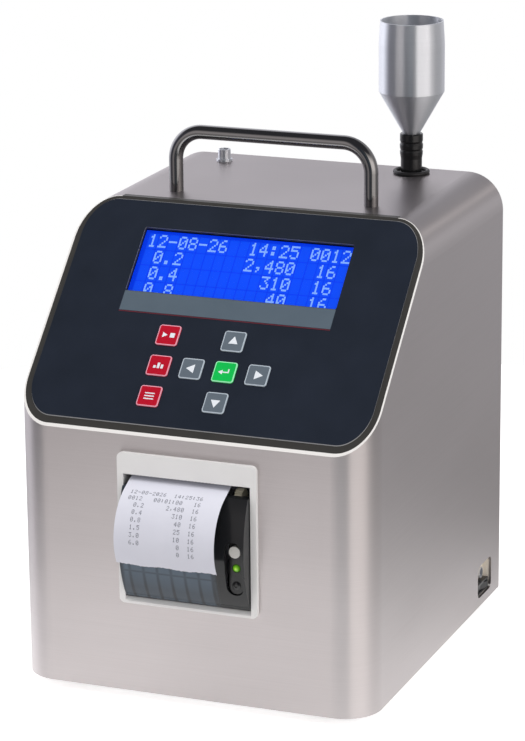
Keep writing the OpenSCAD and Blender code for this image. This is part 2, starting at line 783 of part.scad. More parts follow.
module charger_jack() color("silver") body_frame() {
    translate([recess_floor, jack[0], jack[1]]) rotate([0, 90, 0]) {
        difference() {
            union() {
                cylinder(r = 3.4, h = 1.6);
                translate([0, 0, -11]) cylinder(r = 3, h = 11);
                translate([0, 0, -11]) cylinder(r = 4, h = 11 - sheet_t);
            }
            translate([0, 0, -8]) cylinder(r = 2.6, h = 20);
        }
        translate([0, 0, -8]) cylinder(r = 1, h = 8);
    }
}

module power_switch_body() color("black") body_frame() {
    difference() {
        union() {
            across(recess_floor, recess_floor + switch_rise) translate(rocker) rounded_rect(23.2, 6.4, 0.8);
            across(recess_floor - 12, recess_floor) translate(rocker) square([20.4, 5.2], center = true);
        }
        across(recess_floor - 2, recess_floor + 5) translate(rocker) square([18, 4], center = true);
        rocker_pin(rocker_pin_r + run_gap, 2.7);
    }
}

// Pivot of the rocker, upright and half as long each way as stated
module rocker_pin(r, half) {
    translate([recess_floor + rocker_out, rocker[0], rocker[1] - half]) cylinder(r = r, h = 2 * half);
}

// Rocker standing with its rear end pressed in, turning on a pin in the switch body's two walls
module power_rocker() color("black") body_frame() {
    translate([recess_floor + rocker_out, rocker[0], rocker[1] - 1.8]) rotate(-rocker_tilt)
        linear_extrude(3.6) {
            polygon([[0, -8.3], [3.4, -8.3], [2.4, 0], [3.4, 8.3], [0, 8.3]]);
            circle(1.6);
        }
    rocker_pin(rocker_pin_r, 2.5);
}

// Folded stand over the blower that carries the optical sensor
module sensor_bracket() color("lightgray") body_frame() {
    difference() {
        translate([8, 160, shelf_top - 2]) cube([84, 66, 2]);
        translate([optic[0], optic[1], 0]) cylinder(r = 8, h = 120);
    }
    translate([8, 192, base_top]) cube([2, 34, shelf_top - 2 - base_top]);
    translate([90, 160, base_top]) cube([2, 22, shelf_top - 2 - base_top]);
}

module optical_block() color("dimgray") body_frame() {
    difference() {
        union() {
            translate([optic[0] - 30, 186, shelf_top]) cube([60, 38, 42]);
            translate([inlet_x, inlet_y, shelf_top + 42]) cylinder(r = stem_r, h = 14);
            translate([optic[0], optic[1], shelf_top - 12]) cylinder(r = 5.2, h = 12);
            translate([optic[0] - 8, 186, shelf_top + 21]) rotate([90, 0, 0]) cylinder(r = 13, h = 12);
            translate([optic[0] + 30, optic[1], shelf_top + 21]) rotate([0, 90, 0]) cylinder(r = 9, h = 10);
        }
        translate([inlet_x, inlet_y, shelf_top + 30]) cylinder(r = 2.6, h = 40);
        translate([optic[0], optic[1], shelf_top - 20]) cylinder(r = 3.6, h = 36);
    }
}

module laser_module() color("goldenrod") body_frame() {
    translate([optic[0] - 30, optic[1], shelf_top + 21]) rotate([0, -90, 0]) {
        cylinder(r = 7, h = 44);
        for (i = [0:7]) translate([0, 0, 3 + 4 * i]) cylinder(r = 10, h = 1.8);
    }
}

module sample_tube() color(rubber) body_frame() {
    low = shelf_top + 42.5;
    translate([inlet_x, inlet_y, low]) ring(5.6, stem_r, body_h - 5 - low);
}

module air_hose() color(rubber) body_frame() {
    translate([optic[0], optic[1], 51]) ring(7, 5.2, shelf_top - 3 - 51);
}

// Side-channel blower: a drum with a straight outlet and an upright inlet nozzle
module blower() color("gray") body_frame() {
    translate([blower_c[0], blower_c[1], base_top]) cylinder(r = blower_r, h = 46.5);
    translate([14, blower_c[1] - blower_r, base_top + 8]) cube([33, 22, 26]);
    translate([optic[0], optic[1], base_top + 46.5]) cylinder(r = 5.2, h = 14);
}

module exhaust_filter() color("whitesmoke") body_frame() {
    translate([filter_c[0], 150, filter_c[1]]) rotate([-90, 0, 0]) {
        cylinder(r = filter_r, h = 55);
        translate([0, 0, 55]) cylinder(r = 5, h = 10);
    }
    translate([filter_c[0], 177, filter_c[1]]) rotate([0, 90, 0]) cylinder(r = 5, h = 14 - filter_c[0]);
}

module battery_pack() color("royalblue") body_frame() {
    translate([-70, 160, base_top]) linear_extrude(70) rounded_rect(50, 100, 4);
}

module main_board() color(board_green) body_frame() {
    translate([main_x - board_t / 2, main_y[0], main_z[0]])
        cube([board_t, main_y[1] - main_y[0], main_z[1] - main_z[0]]);
    for (p = [[20, 20, 30, 24, 4], [70, 40, 24, 24, 3], [20, 60, 44, 8, 9], [96, 10, 10, 60, 9]])
        translate([main_x + board_t / 2, main_y[0] + p[0], main_z[0] + p[1]]) cube([p[4], p[2], p[3]]);
}

cover_shell();
base_plate();
rear_panel();
base_screws();
rear_screws();
rubber_feet();
foot_screws();
carry_handle();
handle_screws();
panel_bezel();
keypad_overlay();
key_start_stop();
key_data();
key_menu_esc();
key_up();
key_left();
key_enter();
key_right();
key_down();
display_window();
lcd_frame();
lcd_glass();
lcd_board();
keypad_board();
standoffs();
printer_frame();
printer_bucket();
printer_door();
door_hinge_pins();
platen_roller();
platen_shaft();
platen_gear();
print_head();
tear_bar();
printer_motor();
paper_roll();
paper_strip();
control_block();
feed_button();
status_led();
control_screw();
isokinetic_probe();
inlet_tube();
inlet_barb();
inlet_grommet();
rh_socket();
top_nuts();
recess_pan();
charger_jack();
power_switch_body();
power_rocker();
sensor_bracket();
optical_block();
laser_module();
sample_tube();
air_hose();
blower();
exhaust_filter();
battery_pack();
main_board();
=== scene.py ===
import math
import random

import bmesh
import bpy
from mathutils import Matrix, Vector


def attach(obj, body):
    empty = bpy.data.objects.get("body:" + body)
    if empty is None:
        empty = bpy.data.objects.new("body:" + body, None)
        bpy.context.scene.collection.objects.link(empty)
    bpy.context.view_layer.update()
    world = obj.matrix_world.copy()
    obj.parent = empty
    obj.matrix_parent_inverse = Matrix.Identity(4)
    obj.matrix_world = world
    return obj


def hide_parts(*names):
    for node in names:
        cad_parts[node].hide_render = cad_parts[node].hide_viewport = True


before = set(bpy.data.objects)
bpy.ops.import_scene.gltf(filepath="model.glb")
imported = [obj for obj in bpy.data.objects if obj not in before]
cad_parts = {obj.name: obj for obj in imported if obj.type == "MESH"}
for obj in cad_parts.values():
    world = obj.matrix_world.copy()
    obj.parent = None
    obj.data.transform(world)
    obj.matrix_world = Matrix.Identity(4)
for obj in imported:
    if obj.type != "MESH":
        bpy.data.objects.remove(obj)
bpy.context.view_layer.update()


# The studio: a round pale table in a white room, with one soft lamp overhead and one at each side.
# Metal sees the bright table, and round it the room's lit and unlit walls under a dim ceiling.
def colour(red, green, blue):
    return tuple(c / 12.92 if c <= 0.04045 else ((c + 0.055) / 1.055) ** 2.4
                 for c in (red / 255, green / 255, blue / 255)) + (1.0,)


def new_finish(name, tint, roughness, metallic=0.0):
    finish = bpy.data.materials.new(name)
    finish.use_nodes = True
    shader = finish.node_tree.nodes["Principled BSDF"]
    shader.inputs["Base Color"].default_value = tint
    shader.inputs["Roughness"].default_value = roughness
    shader.inputs["Metallic"].default_value = metallic
    return finish, finish.node_tree, shader


def finish_mesh(bm, name, finishes):
    mesh = bpy.data.meshes.new(name)
    bm.to_mesh(mesh)
    bm.free()
    for finish in finishes:
        mesh.materials.append(finish)
    mesh.shade_smooth()
    mesh.set_sharp_from_angle(angle=0.6)
    piece = bpy.data.objects.new(name, mesh)
    bpy.context.scene.collection.objects.link(piece)
    return piece


def add_math(tree, operation, first, second):
    node = tree.nodes.new("ShaderNodeMath")
    node.operation = operation
    for socket, value in zip(node.inputs, (first, second)):
        if isinstance(value, (int, float)):
            socket.default_value = value
        else:
            tree.links.new(value, socket)
    return node.outputs[0]


def add_mix(tree, share, low, high):
    node = tree.nodes.new("ShaderNodeMix")
    node.data_type = "RGBA"
    for socket, value in ((node.inputs[0], share), (node.inputs[6], low), (node.inputs[7], high)):
        if isinstance(value, (int, float, tuple)):
            socket.default_value = value
        else:
            tree.links.new(value, socket)
    return node.outputs[2]


def add_range(tree, value, from_low, from_high, to_low, to_high):
    node = tree.nodes.new("ShaderNodeMapRange")
    for socket, number in zip(node.inputs[1:5], (from_low, from_high, to_low, to_high)):
        socket.default_value = number
    tree.links.new(value, node.inputs[0])
    return node.outputs[0]


def add_ramp(tree, value, stops):
    node = tree.nodes.new("ShaderNodeValToRGB")
    elements = node.color_ramp.elements
    while len(elements) < len(stops):
        elements.new(0.5)
    for element, (position, tint) in zip(elements, stops):
        element.position, element.color = position, tint
    tree.links.new(value, node.inputs["Fac"])
    return node.outputs["Color"]


def soft_lamp(name, place, aim, width, height, power, tint):
    lamp = bpy.data.lights.new(name, "AREA")
    lamp.shape, lamp.size, lamp.size_y = "RECTANGLE", width, height
    lamp.energy, lamp.color = power, tint
    holder = bpy.data.objects.new(name, lamp)
    holder.location = place
    holder.rotation_euler = (Vector(aim) - Vector(place)).to_track_quat("-Z", "Y").to_euler()
    holder.visible_glossy, holder.visible_transmission = False, False
    bpy.context.scene.collection.objects.link(holder)


table_paint, tree, shader = new_finish("table_top", colour(236, 235, 233), 0.7)
coordinates = tree.nodes.new("ShaderNodeTexCoord")
from_middle = tree.nodes.new("ShaderNodeVectorMath")
from_middle.operation = "DISTANCE"
from_middle.inputs[1].default_value = (0, -0.12, 0)
tree.links.new(coordinates.outputs["Object"], from_middle.inputs[0])
# Painted light on the table: its colour fades from pale in the middle to grey at the rim, and it glows, to
# the camera more towards the rim and to metal only near the middle.
far = add_range(tree, from_middle.outputs["Value"], 0.18, 0.43, 0, 1)
tree.links.new(add_mix(tree, far, colour(238, 237, 236), colour(150, 149, 148)), shader.inputs["Base Color"])
light_path = tree.nodes.new("ShaderNodeLightPath")
to_camera = add_math(tree, "MULTIPLY", light_path.outputs["Is Camera Ray"],
                     add_range(tree, far, 0, 1, 0.62, 1))
to_metal = add_math(tree, "MULTIPLY", light_path.outputs["Is Glossy Ray"],
                    add_range(tree, far, 0, 1, 0.6, 0))
shader.inputs["Emission Color"].default_value = (1, 1, 1, 1)
tree.links.new(add_math(tree, "ADD", to_camera, to_metal), shader.inputs["Emission Strength"])
bm = bmesh.new()
bmesh.ops.create_circle(bm, cap_ends=True, segments=128, radius=0.6)
table_top = finish_mesh(bm, "table_top", [table_paint])

# Wall brightness by compass angle, from straight behind the unit round by its left, front and right
walls = ((-180, 0.62, 0.62, 0.66), (-158, 1.1, 1.1, 1.17), (-98, 1.55, 1.55, 1.68), (-84, 0.9, 0.9, 1.0),
         (-68, 0.11, 0.11, 0.15), (-44, 0.11, 0.11, 0.14), (-34, 0.62, 0.58, 0.58), (-15, 0.68, 0.63, 0.63),
         (-6, 0.1, 0.11, 0.13), (8, 0.04, 0.05, 0.07), (16, 0.15, 0.19, 0.22), (26, 0.05, 0.06, 0.07),
         (33, 0.5, 0.49, 0.48), (40, 1.7, 1.62, 1.56), (80, 1.8, 1.7, 1.64), (94, 0.9, 0.86, 0.84),
         (112, 0.42, 0.41, 0.41), (140, 0.45, 0.44, 0.45), (158, 0.66, 0.65, 0.67), (180, 0.62, 0.62, 0.66))
world = bpy.data.worlds.new("studio_air")
world.use_nodes = True
bpy.context.scene.world = world
tree = world.node_tree
direction = tree.nodes.new("ShaderNodeTexCoord")
part = tree.nodes.new("ShaderNodeSeparateXYZ")
tree.links.new(direction.outputs["Generated"], part.inputs[0])
compass = add_math(tree, "ARCTAN2", part.outputs["X"], add_math(tree, "MULTIPLY", part.outputs["Y"], -1))
wall = add_ramp(tree, add_range(tree, compass, -math.pi, math.pi, 0, 1),
                [((angle + 180) / 360, (*tint, 1)) for angle, *tint in walls])
behind = add_range(tree, part.outputs["Y"], 0, 0.6, 0, 0.45)
ceiling = add_range(tree, add_math(tree, "SUBTRACT", part.outputs["Z"], behind), 0.25, 0.6, 0, 1)
room = add_mix(tree, ceiling, wall, (0.07, 0.07, 0.08, 1))
far_floor = add_range(tree, part.outputs["Z"], -0.3, -0.02, 0.6, 0)
room = add_mix(tree, far_floor, room, (0.12, 0.12, 0.125, 1))
light_path = tree.nodes.new("ShaderNodeLightPath")
seen = add_mix(tree, light_path.outputs["Is Glossy Ray"], (0.56, 0.56, 0.565, 1), room)
seen = add_mix(tree, light_path.outputs["Is Camera Ray"], seen, (1, 1, 1, 1))
tree.links.new(seen, tree.nodes["Background"].inputs["Color"])

soft_lamp("lamp_overhead", (-0.3, -0.5, 1.7), (0, 0, 0.1), 1.2, 1.2, 14, (1.0, 1.0, 1.0))
soft_lamp("lamp_right", (1.5, -0.35, 0.75), (0, 0, 0.12), 0.5, 1.2, 9, (1.0, 0.985, 0.97))
soft_lamp("lamp_left", (-1.5, 0.6, 0.8), (0, 0, 0.12), 0.8, 1.2, 10, (0.95, 0.95, 1.0))

bpy.context.scene.view_settings.view_transform = "Standard"
# The camera has a long lens and looks down on the unit from its front right
yaw, pitch, roll = (math.radians(angle) for angle in (21.688, 16.054, -0.523))
back = Vector((math.sin(yaw) * math.cos(pitch), -math.cos(yaw) * math.cos(pitch), math.sin(pitch)))
right = Vector((math.cos(yaw), math.sin(yaw), 0))
up = back.cross(right)
camera = bpy.data.objects.new("camera", bpy.data.cameras.new("camera"))
camera.data.lens = 159.2
camera.data.clip_end = 50
axes = Matrix((right * math.cos(roll) + up * math.sin(roll),
               up * math.cos(roll) - right * math.sin(roll), back)).transposed()
camera.matrix_world = Matrix.Translation((0.65018, -1.62863, 0.66638)) @ axes.to_4x4()
bpy.context.scene.collection.objects.link(camera)
bpy.context.scene.camera = camera


# The casing: 1.5 mm stainless sheet, brushed along its width, bent and welded at the rounded corners.
# Its edge round the panel is painted pale and not metallic, as a highlight. The rear panel is a flat plate of
# the same sheet.
def dress(finish, *nodes):
    for node in nodes:
        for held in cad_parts[node].material_slots:
            held.material = finish


def new_group(name, inputs, outputs):
    group = bpy.data.node_groups.new(name, "ShaderNodeTree")
    for label, value in inputs.items():
        group.interface.new_socket(label, in_out="INPUT", socket_type="NodeSocketFloat").default_value = value
    for label in outputs:
        group.interface.new_socket(label, in_out="OUTPUT", socket_type="NodeSocketFloat")
    return group, group.nodes.new("NodeGroupInput"), group.nodes.new("NodeGroupOutput")


def add_noise(tree, vector, stretch, detail=3.0):
    mapping = tree.nodes.new("ShaderNodeMapping")
    mapping.inputs["Scale"].default_value = stretch
    noise = tree.nodes.new("ShaderNodeTexNoise")
    noise.inputs["Scale"].default_value = 1.0
    noise.inputs["Detail"].default_value = detail
    tree.links.new(vector, mapping.inputs["Vector"])
    tree.links.new(mapping.outputs[0], noise.inputs["Vector"])
    return noise.outputs["Fac"]


def add_bump(tree, shader, height, strength, depth):
    bump = tree.nodes.new("ShaderNodeBump")
    bump.inputs["Strength"].default_value = strength
    bump.inputs["Distance"].default_value = depth
    tree.links.new(height, bump.inputs["Height"])
    tree.links.new(bump.outputs[0], shader.inputs["Normal"])


# Grain lines run level on upright faces and along the width on level ones
grain, given, out = new_group("brushed_grain", {"Fineness": 1.0}, ("Lines", "Cloud"))
coordinates = grain.nodes.new("ShaderNodeTexCoord")
normal = grain.nodes.new("ShaderNodeSeparateXYZ")
grain.links.new(coordinates.outputs["Normal"], normal.inputs[0])
level = add_range(grain, add_math(grain, "ABSOLUTE", normal.outputs["Z"], 0), 0.5, 0.9, 0, 1)
sized = grain.nodes.new("ShaderNodeVectorMath")
sized.operation = "SCALE"
grain.links.new(coordinates.outputs["Object"], sized.inputs[0])
grain.links.new(given.outputs["Fineness"], sized.inputs["Scale"])
upright_lines = add_noise(grain, sized.outputs[0], (12, 12, 3200))
level_lines = add_noise(grain, sized.outputs[0], (12, 3200, 12))
grain.links.new(add_mix(grain, level, upright_lines, level_lines), out.inputs["Lines"])
grain.links.new(add_noise(grain, sized.outputs[0], (9, 9, 22), 4.0), out.inputs["Cloud"])


# The highlight is drawn out across the grain: up and down on upright faces, front to back on lying ones
def brushed_finish(name, light, dark, roughness, bump, spread, lying_from=0.3, lying_to=0.86):
    finish, tree, shader = new_finish(name, light, roughness, 1.0)
    lines = tree.nodes.new("ShaderNodeGroup")
    lines.node_tree = grain
    streaks = add_range(tree, lines.outputs["Lines"], 0.3, 0.7, 0, 1)
    shade = add_math(tree, "ADD", add_math(tree, "MULTIPLY", streaks, 0.3),
                     add_math(tree, "MULTIPLY", lines.outputs["Cloud"], 0.7))
    tree.links.new(add_mix(tree, shade, dark, light), shader.inputs["Base Color"])
    tree.links.new(add_range(tree, lines.outputs["Cloud"], 0.3, 0.7, roughness - 0.03, roughness + 0.03),
                   shader.inputs["Roughness"])
    shader.inputs["Anisotropic"].default_value = spread
    across_grain = tree.nodes.new("ShaderNodeCombineXYZ")
    surface = tree.nodes.new("ShaderNodeNewGeometry")
    facing = tree.nodes.new("ShaderNodeSeparateXYZ")
    tree.links.new(surface.outputs["Normal"], facing.inputs[0])
    lying = add_range(tree, add_math(tree, "ABSOLUTE", facing.outputs["Z"], 0),
                      lying_from, lying_to, 0, 1)
    tree.links.new(lying, across_grain.inputs["Y"])
    tree.links.new(add_math(tree, "SUBTRACT", 1.0, lying), across_grain.inputs["Z"])
    tree.links.new(across_grain.outputs[0], shader.inputs["Tangent"])
    add_bump(tree, shader, lines.outputs["Lines"], bump, 0.00006)
    return finish


# How squarely a face looks along a direction, as a share from 0 to 1
def toward(tree, direction, low, high):
    coordinates = tree.nodes.new("ShaderNodeTexCoord")
    facing = tree.nodes.new("ShaderNodeVectorMath")
    facing.operation = "DOT_PRODUCT"
    facing.inputs[1].default_value = direction
    tree.links.new(coordinates.outputs["Normal"], facing.inputs[0])
    return add_range(tree, facing.outputs["Value"], low, high, 0, 1)


slope_rise, slope_run = 0.104, 0.106
slope_angle = math.atan2(slope_rise, slope_run)
slope_normal = (0, -math.sin(slope_angle), math.cos(slope_angle))
stainless = brushed_finish("brushed_stainless", colour(206, 200, 200), colour(192, 186, 186), 0.4, 0.1, 0.85)
tree = stainless.node_tree
shader = tree.nodes["Principled BSDF"]
# Painted highlight: faces that look straight along the slope, the sheet's edge round the panel, are painted
# pale and not metallic.
painted_rim_highlight = toward(tree, slope_normal, 0.985, 0.995)
sheet_tint = shader.inputs["Base Color"].links[0].from_socket
tree.links.new(add_mix(tree, painted_rim_highlight, sheet_tint, colour(232, 229, 226)), shader.inputs["Base Color"])
tree.links.new(add_range(tree, painted_rim_highlight, 0, 1, 1, 0), shader.inputs["Metallic"])
dress(stainless, "cover_shell", "rear_panel")

# The base plate and the sensor's stand: zinc-plated steel sheet, cut out and folded.
# The plate lies on the casing's bottom return, screwed from below, and the stand's legs are on the plate.
plated = brushed_finish("plated_sheet", colour(190, 193, 196), colour(160, 163, 168), 0.35, 0.1, 0.2)
dress(plated, "base_plate", "sensor_bracket")

# Screws, washers, pins, the platen's shaft, the inlet barb and the tear bar: all bright steel.
# The screws are headed and rolled, the pins, shaft and barb are turned, and the tear bar is cut from strip.
fastener = brushed_finish("fastener_steel", colour(200, 200, 202), colour(165, 166, 170), 0.28, 0.1, 0.0)
dress(fastener, "base_screws", "rear_screws", "foot_screws", "handle_screws", "door_hinge_pins",
      "platen_shaft", "inlet_barb", "tear_bar")


# Rubber parts: moulded feet under the base, the inlet hose with its grommet, and the inner hoses.
# Black rubber with a soft sheen and a slightly uneven skin.
def moulded_finish(name, light, dark, roughness, bump):
    finish, tree, shader = new_finish(name, light, roughness)
    skin = tree.nodes.new("ShaderNodeGroup")
    skin.node_tree = moulded_skin
    tree.links.new(add_mix(tree, skin.outputs["Cloud"], dark, light), shader.inputs["Base Color"])
    tree.links.new(add_range(tree, skin.outputs["Cloud"], 0.3, 0.7, roughness - 0.05, roughness + 0.05),
                   shader.inputs["Roughness"])
    add_bump(tree, shader, skin.outputs["Pores"], bump, 0.0001)
    return finish


moulded_skin, given, out = new_group("moulded_skin", {"Scale": 1.0}, ("Pores", "Cloud"))
coordinates = moulded_skin.nodes.new("ShaderNodeTexCoord")
sized = moulded_skin.nodes.new("ShaderNodeVectorMath")
sized.operation = "SCALE"
moulded_skin.links.new(coordinates.outputs["Object"], sized.inputs[0])
moulded_skin.links.new(given.outputs["Scale"], sized.inputs["Scale"])
pores = add_noise(moulded_skin, sized.outputs[0], (1600, 1600, 1600), 2.0)
moulded_skin.links.new(pores, out.inputs["Pores"])
moulded_skin.links.new(add_noise(moulded_skin, sized.outputs[0], (60, 60, 60), 4.0), out.inputs["Cloud"])

rubber = moulded_finish("black_rubber", colour(34, 33, 34), colour(20, 20, 21), 0.45, 0.2)
dress(rubber, "rubber_feet", "sample_tube", "air_hose", "inlet_grommet")
hose_skin = moulded_finish("glossy_hose", colour(26, 26, 27), colour(14, 14, 15), 0.22, 0.15)
dress(hose_skin, "inlet_tube")

# The carry handle: an 8 mm stainless bar, bent twice and polished, standing on the top sheet.
# A tapped hole up each leg takes a screw and a washer from inside the casing.
handle_steel = brushed_finish("polished_bar", colour(150, 149, 149), colour(138, 137, 137), 0.12, 0.03, 0.0)
dress(handle_steel, "carry_handle")

# The panel plate: one charcoal-coated plate let into the casing's slope, inside a thin rim of sheet.
# It is cut through for the eight keys and rebated at the back for the display's window.
charcoal = moulded_finish("charcoal_coat", colour(58, 56, 53), colour(46, 45, 43), 0.5, 0.3)
dress(charcoal, "panel_bezel")

# The legend film: a navy plastic film stuck over the panel plate, its edge faces painted pale grey as a
# highlight.
# Below the display it is printed with a grey band, and under the band with a thin red line.
slope_foot = (0, -0.104, 0.151)
slope = Matrix.Translation(slope_foot) @ Matrix.Rotation(slope_angle, 4, "X")
film, tree, shader = new_finish("navy_film", colour(27, 34, 46), 0.42)
shader.inputs["Specular IOR Level"].default_value = 0.3
skin = tree.nodes.new("ShaderNodeGroup")
skin.node_tree = moulded_skin
skin.inputs["Scale"].default_value = 0.8
# Painted highlight: the film's faces that do not look along the slope are painted pale grey.
face = toward(tree, slope_normal, 0.8, 0.95)
navy = add_mix(tree, skin.outputs["Cloud"], colour(22, 29, 40), colour(32, 39, 53))
tree.links.new(add_mix(tree, face, colour(150, 150, 152), navy), shader.inputs["Base Color"])
add_bump(tree, shader, skin.outputs["Pores"], 0.15, 0.0001)
dress(film, "keypad_overlay")


def plate(bm, x_low, x_high, s_low, s_high, low, high, index=0):
    made = bmesh.ops.create_cube(bm, size=1)["verts"]
    bmesh.ops.scale(bm, vec=(x_high - x_low, s_high - s_low, high - low), verts=made)
    bmesh.ops.translate(bm, vec=((x_low + x_high) / 2, (s_low + s_high) / 2, (low + high) / 2), verts=made)
    for face in {face for vert in made for face in vert.link_faces}:
        face.material_index = index
    return made


band_ink = moulded_finish("band_grey", colour(84, 98, 110), colour(74, 88, 100), 0.4, 0.1)
line_ink = moulded_finish("line_red", colour(110, 22, 38), colour(92, 18, 32), 0.4, 0.1)
bm = bmesh.new()
band_half, film_top, print_top = 0.0615, 0.0004, 0.00044
plate(bm, -band_half, band_half, 0.0756, 0.0880, film_top, print_top)
plate(bm, -band_half, band_half, 0.0748, 0.0753, film_top, print_top, 1)
bmesh.ops.transform(bm, matrix=slope, verts=bm.verts)
band = finish_mesh(bm, "display_band", [band_ink, line_ink])
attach(band, "casing")

# Eight keys: moulded caps in red, grey and green, each with its rim painted as a pale highlight, and a
# printed mark.
# Each stands on its own plunger over the keypad's board, and sinks by itself.
key_marks = moulded_finish("key_print", colour(235, 238, 242), colour(215, 220, 228), 0.5, 0.1)
# The third colour of each key is a pale tint of the key's own, a painted highlight on the cap's rim.
key_colours = {
    "red": (colour(190, 0, 38), colour(168, 0, 30), colour(226, 150, 168)),
    "grey": (colour(102, 112, 122), colour(86, 96, 106), colour(176, 186, 196)),
    "green": (colour(0, 194, 82), colour(0, 168, 66), colour(150, 235, 180))}
key_finishes = {}
for tone, (light, dark, edge) in key_colours.items():
    key_finishes[tone] = [moulded_finish("key_" + tone, light, dark, 0.4, 0.12),
                          moulded_finish("key_rim_highlight_" + tone, edge, edge, 0.4, 0.05)]
    key_finishes[tone][0].node_tree.nodes["Principled BSDF"].inputs["Specular IOR Level"].default_value = 0.15


def arrow(bm, turn, size=0.0031, middle=(0, 0)):
    made = bmesh.ops.create_cone(bm, cap_ends=True, segments=3, radius1=size, radius2=size,
                                 depth=0.00006)["verts"]
    bmesh.ops.rotate(bm, matrix=Matrix.Rotation(turn, 3, "Z"), verts=made)
    bmesh.ops.translate(bm, vec=(*middle, 0.00112), verts=made)
    for vert in made:
        for face in vert.link_faces:
            face.material_index = 2


def bar(bm, x_low, x_high, y_low, y_high):
    plate(bm, x_low, x_high, y_low, y_high, 0.0010, 0.00115, 2)


key_width = 0.0127


def key_piece(name, x, s, tone, draw):
    bm = bmesh.new()
    cap = bmesh.ops.create_cube(bm, size=1)["verts"]
    bmesh.ops.scale(bm, vec=(key_width, key_width, 0.0025), verts=cap)
    bmesh.ops.translate(bm, vec=(0, 0, -0.00015), verts=cap)
    corners = [e for e in bm.edges if abs(e.verts[0].co.z - e.verts[1].co.z) > 0.001]
    bmesh.ops.bevel(bm, geom=corners, offset=0.0016, segments=6, profile=0.5, affect="EDGES", material=-1)
    rim = [e for e in bm.edges if min(v.co.z for v in e.verts) > 0.00109]
    bmesh.ops.bevel(bm, geom=rim, offset=0.0004, segments=3, profile=0.5, affect="EDGES", material=1)
    top = [f for f in bm.faces if f.calc_center_median().z > 0.00109 and f.calc_area() > 1e-5]
    bmesh.ops.inset_region(bm, faces=top, thickness=0.0003)
    for face in bm.faces:
        if face not in top and face.calc_center_median().z > 0.0009:
            face.material_index = 1
    stem = bmesh.ops.create_cone(bm, cap_ends=True, segments=24, radius1=0.003, radius2=0.003,
                                 depth=0.0022)["verts"]
    bmesh.ops.translate(bm, vec=(0, 0, -0.0025), verts=stem)
    draw(bm)
    bmesh.ops.transform(bm, matrix=slope @ Matrix.Translation((x, s, 0)), verts=bm.verts)
    piece = finish_mesh(bm, name + "_cap", [*key_finishes[tone], key_marks])
    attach(piece, name)
    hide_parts(name)


def mark_start(bm):
    arrow(bm, -math.pi / 2, 0.0019, (-0.0023, 0.0))
    bar(bm, 0.0011, 0.0038, -0.0014, 0.0014)


def mark_data(bm):
    for i, height in enumerate((0.0016, 0.0034, 0.0024)):
        bar(bm, -0.0029 + 0.0021 * i, -0.0015 + 0.0021 * i, -0.0018, -0.0018 + height)


def mark_menu(bm):
    for low in (-0.0021, -0.0004, 0.0013):
        bar(bm, -0.0028, 0.0028, low, low + 0.0007)


def mark_enter(bm):
    bar(bm, -0.0012, 0.0026, -0.0006, 0.0001)
    bar(bm, 0.0019, 0.0026, 0.0001, 0.0019)
    arrow(bm, math.pi / 2, 0.0016, (-0.0019, -0.00025))


key_x = (-0.0282, -0.00915, 0.0099, 0.02895)
key_s = (0.0241, 0.04315, 0.0622)
key_piece("key_start_stop", key_x[0], key_s[2], "red", mark_start)
key_piece("key_data", key_x[0], key_s[1], "red", mark_data)
key_piece("key_menu_esc", key_x[0], key_s[0], "red", mark_menu)
key_piece("key_up", key_x[2], key_s[2], "grey", lambda bm: arrow(bm, 0))
key_piece("key_left", key_x[1], key_s[1], "grey", lambda bm: arrow(bm, math.pi / 2))
key_piece("key_enter", key_x[2], key_s[1], "green", mark_enter)
key_piece("key_right", key_x[3], key_s[1], "grey", lambda bm: arrow(bm, -math.pi / 2))
key_piece("key_down", key_x[2], key_s[0], "grey", lambda bm: arrow(bm, math.pi))

# The display: a clear window, a black metal frame, and a blue back-lit character glass of four rows
# of twenty. Each character is a cell of five by seven dots.
clear, tree, shader = new_finish("clear_window", (0.96, 0.98, 1.0, 1), 0.02)
shader.inputs["Transmission Weight"].default_value = 1.0
shader.inputs["IOR"].default_value = 1.3
dress(clear, "display_window")
display_black = moulded_finish("display_frame", colour(22, 22, 24), colour(14, 14, 16), 0.4, 0.1)
dress(display_black, "lcd_frame")


def lit_finish(name, tint, strength):
    finish, tree, shader = new_finish(name, tint, 0.3)
    skin = tree.nodes.new("ShaderNodeGroup")
    skin.node_tree = moulded_skin
    skin.inputs["Scale"].default_value = 0.5
    darker = tuple(c * 0.9 for c in tint[:3]) + (1.0,)
    glow = add_mix(tree, skin.outputs["Cloud"], darker, tint)
    tree.links.new(glow, shader.inputs["Emission Color"])
    shader.inputs["Emission Strength"].default_value = strength
    return finish


display_blue = lit_finish("display_blue", colour(0, 58, 235), 0.85)
dress(display_blue, "lcd_glass")
cell_blue = lit_finish("display_cell", colour(8, 80, 255), 0.85)
dot_light = lit_finish("display_dot", colour(140, 185, 255), 0.9)
digits = {
    "0": "01110100011001110101110011000101110", "1": "00100011000010000100001000010001110",
    "2": "01110100010000100010001000100011111", "3": "11111000100010000010000011000101110",
    "4": "00010001100101010010111110001000010", "5": "11111100001111000001000011000101110",
    "6": "00110010001000011110100011000101110", "7": "11111000010001000100010000100001000",
    "8": "01110100011000101110100011000101110", "9": "01110100011000101111000010001001100",
    ".": "00000000000000000000000000110001100", ",": "00000000000000000000011000010001000",
    ":": "00000011000110000000011000110000000", "-": "00000000000000011111000000000000000",
    " ": "0" * 35}


# Each lit dot of a character is a thin closed box
def draw_text(bm, rows, left, top, pitch, dot, index, low, high):
    half_x, half_y = dot[0] * 0.47, dot[1] * 0.47
    for row, text in enumerate(rows):
        for column, letter in enumerate(text):
            for spot, lit in enumerate(digits[letter]):
                if lit == "1":
                    x = left + column * pitch[0] + (spot % 5 + 0.5) * dot[0]
                    y = top - row * pitch[1] - (spot // 5 + 0.5) * dot[1]
                    plate(bm, x - half_x, x + half_x, y - half_y, y + half_y, low, high, index)


